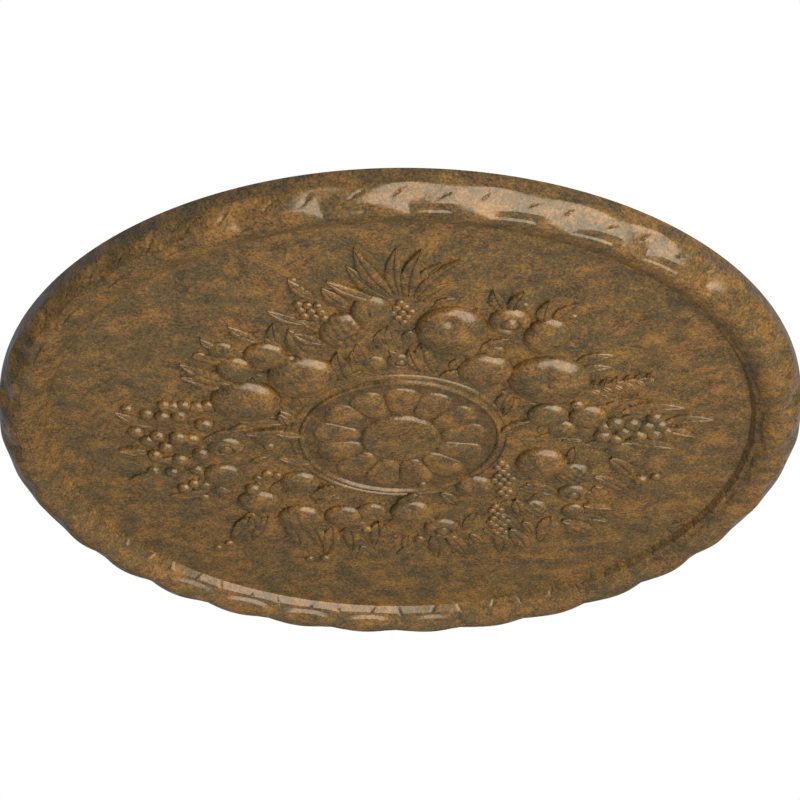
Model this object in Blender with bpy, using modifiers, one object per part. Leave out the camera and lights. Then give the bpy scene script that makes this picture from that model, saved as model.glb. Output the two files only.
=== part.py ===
"""Ceiling medallion, cast in one piece, with a fruit wreath and a twisted ribbon border.

The back lies flat in the plane z = 0 and faces +Z, towards the ceiling it is fixed to.
The ornament hangs down, towards -Z, about the Z axis through the middle of the back.
The border, the rings and the middle are turned and carved by formula from the sizes below.
Fruit and leaves keep their places and sizes as shares of the outside radius.
"""
import math

import bpy
import numpy as np

# Driving sizes, in metres
OUTSIDE_RADIUS = 0.381
WALL_HEIGHT = 0.0110
BORDER_WIDTH = 0.0480
CREST_DEPTH = 0.0312
FIELD_DEPTH = 0.0155
DISH_RADIUS = 0.0950
RING_WIDTH = 0.0052
RING_GAP = 0.0031
RING_HEIGHT = 0.0030
OUTER_RING_HEIGHT = 0.0016
BOSS_RADIUS = 0.0380
BOSS_FLAT_RADIUS = 0.0330
BOSS_HEIGHT = 0.0038
PETAL_GAP = 0.0088
PETAL_HEIGHT = 0.0034

# Counts and turns of the repeated ornament
RIBBON_TURNS = 32
RIBBON_PHASE = math.radians(-0.85)
RIBBON_FULLNESS = 0.75
PETALS = 13
PETAL_PHASE = math.radians(6.0)

# Fineness of the turned blank and of the finished solid
STEPS_ABOUT = 384
FIELD_STEPS = 90
SECTION_STEPS = 3
TRIANGLE_BUDGET = 9800
WELD_DISTANCE = 0.00001
WALL_TRUING = 0.0008
SHARP_ANGLE = math.radians(35)

# Height of the wreath, as shares of each fruit's radius and of the outside radius
FRUIT_SWELL = 0.44
BERRY_SWELL = 0.80
LEAF_THICKNESS = 0.014

# Leaf blade: where it is widest, how full its edge is, its height at both ends, and the midrib's groove
LEAF_BELLY = 0.80
LEAF_FULLNESS = 0.85
LEAF_END_SHARE = 0.60
MIDRIB_SHARE = 0.35
MIDRIB_SPREAD = 0.18

# Spacing of the berries in a bunch, in berry radii
BUNCH_ROW_PITCH = 1.62
BUNCH_COLUMN_PITCH = 1.90

# Finish of the casting
BRONZE_BROWN = (0.16, 0.085, 0.03, 1.0)
BRONZE_ROUGHNESS = 0.32
BRONZE_METALLIC = 0.25

# Border section where two turns of the ribbon meet, from the wall to the foot: share of the border's
# width and share of the crest's depth
MEETING_SECTION = [
    (0.008, 0.492), (0.155, 0.658), (0.314, 0.837), (0.448, 0.987), (0.496, 1.000),
    (0.619, 0.971), (0.794, 0.823), (0.901, 0.721),
]

# The same where a turn swells most
SWELLING_SECTION = [
    (0.044, 0.529), (0.127, 0.713), (0.222, 0.860), (0.397, 0.996), (0.619, 0.971),
    (0.787, 0.855), (0.845, 0.747), (0.917, 0.707),
]

# Fruit of the wreath: right, up, radius across, radius along, turn in degrees, in shares of the radius
FRUITS = [
    (0.120, 0.470, 0.086, 0.086, 0), (0.255, 0.500, 0.050, 0.050, 0), (0.345, 0.440, 0.055, 0.070, -8),
    (0.203, 0.305, 0.068, 0.064, 0), (0.360, 0.265, 0.102, 0.090, -10), (0.365, 0.106, 0.052, 0.048, 0),
    (0.465, 0.098, 0.048, 0.048, 0), (0.225, 0.374, 0.027, 0.029, 0), (-0.066, 0.535, 0.050, 0.066, 0),
    (-0.135, 0.468, 0.056, 0.066, -18), (-0.235, 0.282, 0.086, 0.082, 0), (-0.320, 0.368, 0.052, 0.050, 0),
    (-0.395, 0.310, 0.047, 0.050, 0), (-0.424, 0.388, 0.033, 0.031, 0), (-0.378, 0.180, 0.086, 0.082, 0),
    (-0.478, 0.360, 0.018, 0.018, 0), (0.024, 0.436, 0.022, 0.026, 0), (-0.062, 0.334, 0.029, 0.029, 0),
    (0.000, 0.340, 0.032, 0.030, 0), (-0.042, 0.402, 0.017, 0.017, 0), (-0.440, -0.032, 0.048, 0.044, 0),
    (-0.455, -0.162, 0.052, 0.048, 0), (-0.260, -0.200, 0.052, 0.048, 0), (-0.370, -0.296, 0.058, 0.052, 0),
    (0.360, -0.112, 0.066, 0.066, 0), (0.445, -0.165, 0.050, 0.048, 0), (0.450, -0.262, 0.042, 0.040, 0),
    (0.192, -0.222, 0.052, 0.048, 0), (0.350, -0.338, 0.044, 0.043, 0), (0.456, -0.352, 0.032, 0.034, 0),
    (0.560, -0.048, 0.038, 0.032, 0), (0.030, -0.352, 0.058, 0.056, 0), (0.112, -0.435, 0.050, 0.048, 0),
    (-0.262, -0.378, 0.062, 0.060, 0), (-0.150, -0.372, 0.052, 0.050, 0), (-0.075, -0.350, 0.040, 0.040, 0),
    (0.405, 0.044, 0.038, 0.036, 0), (-0.345, 0.010, 0.032, 0.032, 0),
]

# Berries, apart from the small bunches: right, up, radius
BERRIES = [
    (-0.580, 0.158, 0.018), (-0.558, 0.150, 0.020), (-0.532, 0.156, 0.020), (-0.500, 0.150, 0.022),
    (-0.472, 0.156, 0.020), (-0.545, 0.112, 0.022), (-0.588, 0.108, 0.022), (-0.487, 0.072, 0.026),
    (-0.626, 0.120, 0.019), (-0.672, 0.142, 0.017), (-0.607, 0.020, 0.022), (-0.634, 0.000, 0.021),
    (-0.556, 0.014, 0.025), (-0.524, 0.006, 0.024), (-0.660, 0.040, 0.022), (-0.622, -0.066, 0.021),
    (-0.590, -0.030, 0.021), (-0.560, -0.088, 0.023), (-0.505, -0.062, 0.024), (-0.522, -0.138, 0.021),
    (-0.632, -0.142, 0.018), (-0.585, -0.150, 0.020), (-0.560, -0.226, 0.020), (-0.534, -0.206, 0.016),
    (-0.505, -0.214, 0.018), (-0.464, -0.230, 0.022), (-0.512, -0.270, 0.017), (-0.382, -0.232, 0.023),
    (-0.342, -0.160, 0.015), (-0.316, -0.170, 0.014), (-0.368, -0.182, 0.013), (-0.330, -0.030, 0.017),
    (0.535, 0.070, 0.025), (0.577, 0.066, 0.024), (0.616, 0.054, 0.024), (0.648, 0.058, 0.022),
    (0.632, 0.092, 0.022), (0.597, 0.014, 0.024), (0.508, 0.014, 0.024), (0.542, -0.002, 0.023),
    (0.560, 0.030, 0.023), (0.638, 0.020, 0.022), (0.668, 0.030, 0.019), (0.510, 0.052, 0.022),
    (0.435, 0.150, 0.018), (0.622, -0.196, 0.021), (0.660, -0.184, 0.015), (0.052, -0.492, 0.015),
    (-0.248, -0.598, 0.013), (-0.206, -0.596, 0.016), (-0.462, -0.512, 0.013), (-0.494, -0.536, 0.012),
    (-0.090, -0.440, 0.016), (0.056, -0.215, 0.013), (-0.262, 0.348, 0.018), (-0.166, 0.326, 0.013),
]

# Bunches of small berries: right, up, half length, half width, turn in degrees, berry radius
BUNCHES = [
    (-0.206, 0.542, 0.050, 0.036, -42, 0.0125), (0.004, 0.535, 0.062, 0.022, 96, 0.0115),
    (0.266, -0.195, 0.090, 0.026, -84, 0.0125), (0.262, -0.405, 0.080, 0.024, -82, 0.0120),
]

# Leaves: right and up of the foot, right and up of the tip, width
LEAVES = [
    (-0.003, 0.600, -0.010, 0.775, 0.040), (0.018, 0.598, 0.045, 0.770, 0.042),
    (0.025, 0.600, 0.092, 0.722, 0.040), (0.034, 0.590, 0.135, 0.735, 0.036),
    (0.045, 0.575, 0.112, 0.645, 0.044), (-0.020, 0.602, -0.104, 0.780, 0.042),
    (-0.030, 0.594, -0.122, 0.715, 0.040), (-0.060, 0.588, -0.168, 0.660, 0.038),
    (-0.120, 0.555, -0.180, 0.632, 0.042), (-0.200, 0.595, -0.255, 0.668, 0.032),
    (-0.228, 0.492, -0.308, 0.545, 0.034), (-0.185, 0.418, -0.250, 0.460, 0.042),
    (-0.205, 0.352, -0.262, 0.470, 0.062), (-0.335, 0.425, -0.402, 0.490, 0.036),
    (-0.290, 0.415, -0.298, 0.492, 0.034), (-0.405, 0.250, -0.528, 0.336, 0.054),
    (-0.410, 0.232, -0.530, 0.278, 0.044), (-0.438, 0.400, -0.470, 0.440, 0.026),
    (-0.290, 0.072, -0.422, 0.102, 0.042), (-0.282, 0.040, -0.392, 0.034, 0.038),
    (-0.262, 0.082, -0.296, 0.130, 0.032), (-0.248, 0.020, -0.330, 0.050, 0.034),
    (-0.480, -0.240, -0.605, -0.268, 0.040), (-0.430, -0.205, -0.506, -0.252, 0.038),
    (-0.620, 0.060, -0.705, 0.128, 0.040), (-0.640, -0.050, -0.712, -0.040, 0.036),
    (-0.640, -0.160, -0.702, -0.190, 0.034), (-0.400, -0.370, -0.456, -0.490, 0.052),
    (-0.352, -0.375, -0.400, -0.498, 0.048), (-0.296, -0.400, -0.270, -0.512, 0.050),
    (-0.240, -0.420, -0.214, -0.530, 0.044), (-0.182, -0.420, -0.205, -0.575, 0.046),
    (-0.140, -0.425, -0.132, -0.560, 0.044), (-0.060, -0.400, -0.070, -0.520, 0.044),
    (0.095, -0.470, 0.100, -0.598, 0.050), (0.128, -0.468, 0.178, -0.575, 0.044),
    (0.270, -0.450, 0.272, -0.575, 0.048), (0.292, -0.440, 0.345, -0.550, 0.044),
    (0.398, -0.380, 0.376, -0.515, 0.060), (0.430, -0.395, 0.532, -0.476, 0.050),
    (0.455, -0.375, 0.556, -0.408, 0.040), (0.482, -0.320, 0.560, -0.335, 0.036),
    (0.500, -0.180, 0.600, -0.262, 0.044), (0.535, -0.090, 0.606, -0.190, 0.046),
    (0.520, -0.055, 0.602, -0.096, 0.040), (0.560, -0.015, 0.700, -0.044, 0.046),
    (0.500, 0.098, 0.565, 0.178, 0.046), (0.545, 0.122, 0.700, 0.140, 0.050),
    (0.655, 0.070, 0.780, 0.080, 0.042), (0.660, 0.040, 0.742, 0.010, 0.036),
    (0.420, 0.325, 0.510, 0.362, 0.042), (0.430, 0.300, 0.505, 0.318, 0.034),
    (0.358, 0.495, 0.412, 0.566, 0.038), (0.332, 0.500, 0.342, 0.580, 0.034),
    (0.238, 0.540, 0.212, 0.620, 0.036), (0.258, 0.545, 0.282, 0.612, 0.032),
    (0.080, 0.285, 0.048, 0.412, 0.056), (0.050, 0.300, 0.020, 0.392, 0.036),
    (0.095, 0.272, 0.165, 0.292, 0.034), (-0.128, 0.262, -0.150, 0.380, 0.050),
    (-0.090, 0.300, -0.166, 0.246, 0.026), (0.252, 0.028, 0.328, 0.086, 0.032),
    (0.246, 0.135, 0.268, 0.212, 0.034), (0.278, 0.190, 0.254, 0.110, 0.030),
    (-0.226, -0.112, -0.312, -0.084, 0.038), (-0.170, -0.220, -0.234, -0.262, 0.038),
    (0.105, -0.258, 0.152, -0.322, 0.036), (0.046, -0.262, -0.010, -0.300, 0.034),
    (0.440, -0.045, 0.436, -0.122, 0.036), (0.300, -0.290, 0.318, -0.372, 0.034),
    (-0.240, 0.150, -0.252, 0.222, 0.030), (-0.300, 0.120, -0.282, 0.060, 0.026),
    (0.450, 0.212, 0.612, 0.268, 0.060),
]


def border_rows(section):
    """Rows of a border section from the wall's edge to the foot, as radius and depth."""
    corners = [(OUTSIDE_RADIUS, WALL_HEIGHT)]
    corners += [(OUTSIDE_RADIUS - inward * BORDER_WIDTH, down * CREST_DEPTH) for inward, down in section]
    corners.append((OUTSIDE_RADIUS - BORDER_WIDTH, FIELD_DEPTH))
    shares = np.arange(SECTION_STEPS * (len(corners) - 1) + 1) / SECTION_STEPS
    corners = np.array(corners)
    numbers = np.arange(len(corners))
    return np.column_stack([np.interp(shares, numbers, corners[:, 0]), np.interp(shares, numbers, corners[:, 1])])


def turned_profile():
    """Half section of the plain blank, from the middle of the back round to the middle of the face."""
    foot_radius = OUTSIDE_RADIUS - BORDER_WIDTH
    points = [(0.0, 0.0), (OUTSIDE_RADIUS, 0.0)]
    points += [tuple(row) for row in border_rows(MEETING_SECTION)]
    for step in range(1, FIELD_STEPS + 1):
        points.append((foot_radius * (1 - step / FIELD_STEPS), FIELD_DEPTH))
    return points


def turned_blank(name):
    """Turn the half section about Z with a Screw modifier and return the closed plain disc."""
    mesh = bpy.data.meshes.new(name)
    points = [(radius, 0.0, -depth) for radius, depth in turned_profile()]
    mesh.from_pydata(points, [(i, i + 1) for i in range(len(points) - 1)], [])
    blank = bpy.data.objects.new(name, mesh)
    bpy.context.scene.collection.objects.link(blank)
    screw = blank.modifiers.new("turn", "SCREW")
    screw.axis = "Z"
    screw.angle = math.tau
    screw.steps = STEPS_ABOUT
    screw.render_steps = STEPS_ABOUT
    screw.use_merge_vertices = True
    screw.merge_threshold = WELD_DISTANCE
    apply_modifiers(blank)
    return blank


def apply_modifiers(piece):
    """Replace the piece's mesh with what its modifiers make."""
    graph = bpy.context.evaluated_depsgraph_get()
    finished = bpy.data.meshes.new_from_object(piece.evaluated_get(graph))
    finished.name = piece.name
    piece.modifiers.clear()
    piece.data = finished


def local_axes(right, up, centre_right, centre_up, turn):
    """Coordinates along and across a motif that is turned in the plane of the face."""
    angle = math.radians(turn)
    along = (right - centre_right) * math.cos(angle) + (up - centre_up) * math.sin(angle)
    across = (up - centre_up) * math.cos(angle) - (right - centre_right) * math.sin(angle)
    return along, across


def dome(right, up, centre_right, centre_up, radius_right, radius_up, turn, height):
    """Height of one fruit or berry, half an ellipsoid."""
    along, across = local_axes(right, up, centre_right, centre_up, turn)
    share = (along / radius_right) ** 2 + (across / radius_up) ** 2
    return height * np.sqrt(np.clip(1 - share, 0, 1))


def leaf(right, up, foot_right, foot_up, tip_right, tip_up, width):
    """Height of one pointed leaf with a sunk midrib."""
    length = math.hypot(tip_right - foot_right, tip_up - foot_up)
    turn = math.degrees(math.atan2(tip_up - foot_up, tip_right - foot_right))
    along, across = local_axes(right, up, foot_right, foot_up, turn)
    share = np.clip(along / length, 0.0, 1.0)
    outline = np.sin(math.pi * share ** LEAF_BELLY) ** LEAF_FULLNESS
    side = np.abs(across) / np.maximum(0.5 * width * outline, WELD_DISTANCE)
    inside = (side < 1) & (along > 0) & (along < length)
    blade = (1 - side ** 3) * (LEAF_END_SHARE + (1 - LEAF_END_SHARE) * np.sin(math.pi * share))
    midrib = MIDRIB_SHARE * np.exp(-(side / MIDRIB_SPREAD) ** 2)
    return np.where(inside, LEAF_THICKNESS * np.clip(blade - midrib, 0, 1), 0.0)


def bunch_berries(centre_right, centre_up, half_length, half_width, turn, radius):
    """Places of a bunch's berries, packed in staggered rows inside an ellipse."""
    angle = math.radians(turn)
    places = []
    row_pitch = radius * BUNCH_ROW_PITCH
    column_pitch = radius * BUNCH_COLUMN_PITCH
    rows = int(half_length / row_pitch)
    columns = int(half_width / column_pitch) + 1
    for row in range(-rows, rows + 1):
        for column in range(-columns, columns + 1):
            along = row * row_pitch
            across = (column + 0.5 * (row % 2)) * column_pitch
            if (along / half_length) ** 2 + (across / half_width) ** 2 > 1.0:
                continue
            places.append((centre_right + along * math.cos(angle) - across * math.sin(angle),
                           centre_up + along * math.sin(angle) + across * math.cos(angle)))
    return places


def wreath_height(right, up):
    """Height of the fruit wreath over the field, as a share of the outside radius."""
    height = np.zeros_like(right)
    for row in LEAVES:
        height = np.maximum(height, leaf(right, up, *row))
    for centre_right, centre_up, across, along, turn in FRUITS:
        swell = FRUIT_SWELL * min(across, along)
        height = np.maximum(height, dome(right, up, centre_right, centre_up, across, along, turn, swell))
    for centre_right, centre_up, radius in BERRIES:
        swell = BERRY_SWELL * radius
        height = np.maximum(height, dome(right, up, centre_right, centre_up, radius, radius, 0, swell))
    for bunch in BUNCHES:
        radius = bunch[5]
        for berry_right, berry_up in bunch_berries(*bunch):
            swell = BERRY_SWELL * radius
            height = np.maximum(height, dome(right, up, berry_right, berry_up, radius, radius, 0, swell))
    return height


def middle_height(radius, angle):
    """Height in metres of the two rings, the petals and the boss over the field."""
    height = np.zeros_like(radius)
    rings = [(DISH_RADIUS, RING_HEIGHT), (DISH_RADIUS + RING_WIDTH + RING_GAP, OUTER_RING_HEIGHT)]
    for centre, crest in rings:
        share = np.clip(1 - ((radius - centre) / (0.5 * RING_WIDTH)) ** 2, 0, 1)
        height = np.maximum(height, crest * np.sqrt(share))
    petal_half_length = 0.5 * (DISH_RADIUS - 0.5 * RING_WIDTH - PETAL_GAP - BOSS_RADIUS)
    along = (radius - BOSS_RADIUS - petal_half_length) / petal_half_length
    turn = (angle - PETAL_PHASE) * PETALS / math.tau
    across = 2 * np.abs(turn - np.round(turn))
    share = np.clip(1 - across ** 2 - along ** 4, 0, 1)
    height = np.maximum(height, PETAL_HEIGHT * np.sqrt(share))
    edge = np.clip((radius - BOSS_FLAT_RADIUS) / (BOSS_RADIUS - BOSS_FLAT_RADIUS), 0, 1)
    return np.maximum(height, BOSS_HEIGHT * np.sqrt(1 - edge ** 2))


def carve_border(radius, depth, angle):
    """Swell each turn of the ribbon out of the plain border, which keeps the section of their meetings."""
    meeting = border_rows(MEETING_SECTION)
    swelling = border_rows(SWELLING_SECTION)
    gaps = np.hypot(radius[:, None] - meeting[None, :, 0], depth[:, None] - meeting[None, :, 1])
    row = np.argmin(gaps, axis=1)
    turns = (angle - RIBBON_PHASE) * RIBBON_TURNS / math.tau
    swell = np.abs(np.sin(math.pi * turns)) ** RIBBON_FULLNESS
    grown = meeting[row] + swell[:, None] * (swelling[row] - meeting[row])
    return grown[:, 0], grown[:, 1]


def carve(blank):
    """Move the blank's vertices to the carved face; the back and the wall's edge stay as turned."""
    count = len(blank.data.vertices)
    places = np.empty(count * 3)
    blank.data.vertices.foreach_get("co", places)
    places = places.reshape(count, 3)
    radius = np.hypot(places[:, 0], places[:, 1])
    angle = np.arctan2(-places[:, 1], places[:, 0])
    depth = -places[:, 2]
    foot_radius = OUTSIDE_RADIUS - BORDER_WIDTH
    right = places[:, 0] / OUTSIDE_RADIUS
    up = -places[:, 1] / OUTSIDE_RADIUS
    on_field = (depth > 0.5 * FIELD_DEPTH) & (radius < foot_radius - WELD_DISTANCE)
    raised = np.maximum(OUTSIDE_RADIUS * wreath_height(right, up), middle_height(radius, angle))
    depth[on_field] += raised[on_field]
    on_border = (depth > WALL_HEIGHT + WELD_DISTANCE) & (radius > foot_radius + WELD_DISTANCE)
    radius[on_border], depth[on_border] = carve_border(radius[on_border], depth[on_border], angle[on_border])
    places[:, 0] = radius * np.cos(angle)
    places[:, 1] = -radius * np.sin(angle)
    places[:, 2] = -depth
    blank.data.vertices.foreach_set("co", places.ravel())
    blank.data.update()


def thin_out(piece):
    """Reduce the carved face to the triangle budget and true the back, the wall and the boss again."""
    triangles = sum(len(face.vertices) - 2 for face in piece.data.polygons)
    decimate = piece.modifiers.new("thin", "DECIMATE")
    decimate.decimate_type = "COLLAPSE"
    decimate.ratio = min(1.0, TRIANGLE_BUDGET / triangles)
    decimate.use_collapse_triangulate = True
    apply_modifiers(piece)
    for vertex in piece.data.vertices:
        depth = -vertex.co.z
        radius = math.hypot(vertex.co.x, vertex.co.y)
        if depth < 0.5 * WALL_HEIGHT:
            vertex.co.z = 0.0
        if depth < WALL_HEIGHT + WALL_TRUING and radius > OUTSIDE_RADIUS - WALL_TRUING:
            vertex.co.x *= OUTSIDE_RADIUS / radius
            vertex.co.y *= OUTSIDE_RADIUS / radius
        if radius < BOSS_FLAT_RADIUS and depth > FIELD_DEPTH:
            vertex.co.z = -FIELD_DEPTH - BOSS_HEIGHT


def bronze_material(name):
    """Glossy brown finish of the casting."""
    material = bpy.data.materials.new(name)
    material.use_nodes = True
    shader = material.node_tree.nodes["Principled BSDF"]
    shader.inputs["Base Color"].default_value = BRONZE_BROWN
    shader.inputs["Roughness"].default_value = BRONZE_ROUGHNESS
    shader.inputs["Metallic"].default_value = BRONZE_METALLIC
    return material


def main():
    """Build the medallion in a collection of its own."""
    for thing in list(bpy.data.objects):
        bpy.data.objects.remove(thing, do_unlink=True)
    group = bpy.data.collections.new("ceiling_medallion_parts")
    bpy.context.scene.collection.children.link(group)
    medallion = turned_blank("ceiling_medallion")
    carve(medallion)
    thin_out(medallion)
    medallion.data.materials.clear()
    medallion.data.materials.append(bronze_material("bronzed_cast"))
    bpy.context.scene.collection.objects.unlink(medallion)
    group.objects.link(medallion)
    medallion.data.shade_smooth()
    medallion.data.set_sharp_from_angle(angle=SHARP_ANGLE)


main()
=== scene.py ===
"""Ceiling medallion, dressed: a glossy mottled bronze-brown casting seen from below.

Places and directions are given as a viewer under the ceiling sees the face: right, up and depth,
where depth grows away from the ceiling. One turn about X takes them to the frame's axes.
Most sizes are shares of the outside radius, which is read from the frame.
"""
import logging
import math
from dataclasses import dataclass
from enum import Enum

import bpy
import numpy as np
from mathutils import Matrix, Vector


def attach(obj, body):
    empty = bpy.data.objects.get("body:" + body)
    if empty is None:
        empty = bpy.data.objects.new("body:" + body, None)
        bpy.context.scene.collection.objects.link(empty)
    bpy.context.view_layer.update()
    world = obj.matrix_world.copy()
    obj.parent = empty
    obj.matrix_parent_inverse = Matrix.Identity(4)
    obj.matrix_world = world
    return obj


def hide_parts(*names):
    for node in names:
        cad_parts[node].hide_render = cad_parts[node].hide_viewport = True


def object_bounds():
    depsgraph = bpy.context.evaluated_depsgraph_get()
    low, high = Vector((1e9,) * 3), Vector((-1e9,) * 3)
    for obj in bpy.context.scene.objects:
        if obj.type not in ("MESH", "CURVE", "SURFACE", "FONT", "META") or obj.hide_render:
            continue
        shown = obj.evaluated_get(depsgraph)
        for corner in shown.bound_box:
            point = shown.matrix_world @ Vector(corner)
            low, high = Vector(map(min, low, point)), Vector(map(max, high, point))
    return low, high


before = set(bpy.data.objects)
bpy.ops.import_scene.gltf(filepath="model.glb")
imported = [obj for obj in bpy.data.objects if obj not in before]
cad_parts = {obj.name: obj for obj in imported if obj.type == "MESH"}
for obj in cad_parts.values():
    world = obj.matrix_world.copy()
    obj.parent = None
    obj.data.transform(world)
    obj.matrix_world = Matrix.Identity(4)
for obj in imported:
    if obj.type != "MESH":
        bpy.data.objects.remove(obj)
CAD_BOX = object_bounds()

LOG = logging.getLogger("medallion")
NODE = "ceiling_medallion"
BODY = "root"
RADIUS = 0.5 * min(CAD_BOX[1][0] - CAD_BOX[0][0], CAD_BOX[1][1] - CAD_BOX[0][1])
DEPTH_LIMIT = -CAD_BOX[0][2] / RADIUS
IMAGE_WIDTH = 800
FIELD_SHARP_ANGLE = 30
BORDER_SHARP_ANGLE = 26
WREATH_SHARP_ANGLE = 50
Colour = tuple[float, float, float]
BLACK: Colour = (0.0, 0.0, 0.0)
WHITE: Colour = (1.0, 1.0, 1.0)


def smooth_step(value: np.ndarray, start: float, end: float) -> np.ndarray:
    """Rise smoothly from 0 to 1.

    Args:
        value: The numbers to map.
        start: Where the rise begins.
        end: Where it ends.

    Returns:
        The risen share for each number.
    """
    share = np.clip((value - start) / (end - start), 0.0, 1.0)
    return share * share * (3 - 2 * share)


def bell(value: np.ndarray, width: float) -> np.ndarray:
    """Give a soft bump of height 1 around zero, of the given width."""
    return np.exp(-(value / width) ** 2)


def curve_through(points: np.ndarray, steps: int) -> np.ndarray:
    """Sample a smooth curve that passes through the given points.

    Args:
        points: The points, one per row.
        steps: How many samples lie between two points.

    Returns:
        The samples, one per row, with both end points.
    """
    padded = np.vstack([2 * points[0] - points[1], points, 2 * points[-1] - points[-2]])
    samples = []
    for index in range(len(points) - 1):
        before, start, end, after = padded[index:index + 4]
        for step in range(steps):
            share = step / steps
            samples.append(0.5 * (2 * start + (end - before) * share
                                  + (2 * before - 5 * start + 4 * end - after) * share ** 2
                                  + (3 * start - before - 3 * end + after) * share ** 3))
    samples.append(points[-1])
    return np.array(samples)


class Skin:
    """Vertices, faces and painted-shade shares gathered for one piece."""

    def __init__(self) -> None:
        """Start with nothing."""
        self.places: list[np.ndarray] = []
        self.shades: list[np.ndarray] = []
        self.faces: list[np.ndarray] = []
        self.caps: list[list[int]] = []
        self.count = 0

    def add_grid(self, places: np.ndarray, painted_shade: np.ndarray, closed: bool = False,
                 cap_start: bool = False, cap_end: bool = False) -> None:
        """Add a grid of vertices joined by four-sided faces.

        Args:
            places: Right, up and depth for each row and column, in shares of the radius.
            painted_shade: How much painted shade darkens each vertex in a hollow or crease, from 0 to 1.
            closed: Whether the last column joins the first.
            cap_start: Whether one face closes the first row.
            cap_end: Whether one face closes the last row.
        """
        rows, columns = places.shape[:2]
        index = np.arange(rows * columns).reshape(rows, columns) + self.count
        if cap_start:
            self.caps.append(index[0].tolist())
        if cap_end:
            self.caps.append(index[-1, ::-1].tolist())
        after = np.roll(index, -1, axis=1)
        if not closed:
            index, after = index[:, :-1], index[:, 1:]
        quads = np.stack([index[:-1], index[1:], after[1:], after[:-1]], axis=-1)
        self.faces.append(quads.reshape(-1, 4))
        self.places.append(places.reshape(-1, 3))
        self.shades.append(np.broadcast_to(painted_shade, (rows, columns)).reshape(-1))
        self.count += rows * columns

    def piece(self, name: str, sharp_angle: float) -> bpy.types.Object:
        """Make the mesh object in the frame's axes and link it.

        Args:
            name: The piece's name.
            sharp_angle: Edges that bend more than this, in degrees, stay crisp.

        Returns:
            The new object, riding on the body and standing for the cast node.
        """
        places = np.vstack(self.places) * RADIUS
        places[:, 1:] *= -1
        mesh = bpy.data.meshes.new(name)
        mesh.from_pydata(places.tolist(), [], np.vstack(self.faces).tolist() + self.caps)
        # Painted shade for hollows and creases, one share per vertex, which the material reads
        shade = mesh.attributes.new("painted_shade", "FLOAT", "POINT")
        shade.data.foreach_set("value", np.concatenate(self.shades).astype(np.float32))
        mesh.shade_smooth()
        mesh.set_sharp_from_angle(angle=math.radians(sharp_angle))
        made = bpy.data.objects.new(name, mesh)
        bpy.context.scene.collection.objects.link(made)
        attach(made, BODY)
        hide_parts(NODE)
        LOG.info("%s: %d vertices", name, self.count)
        return made


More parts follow.
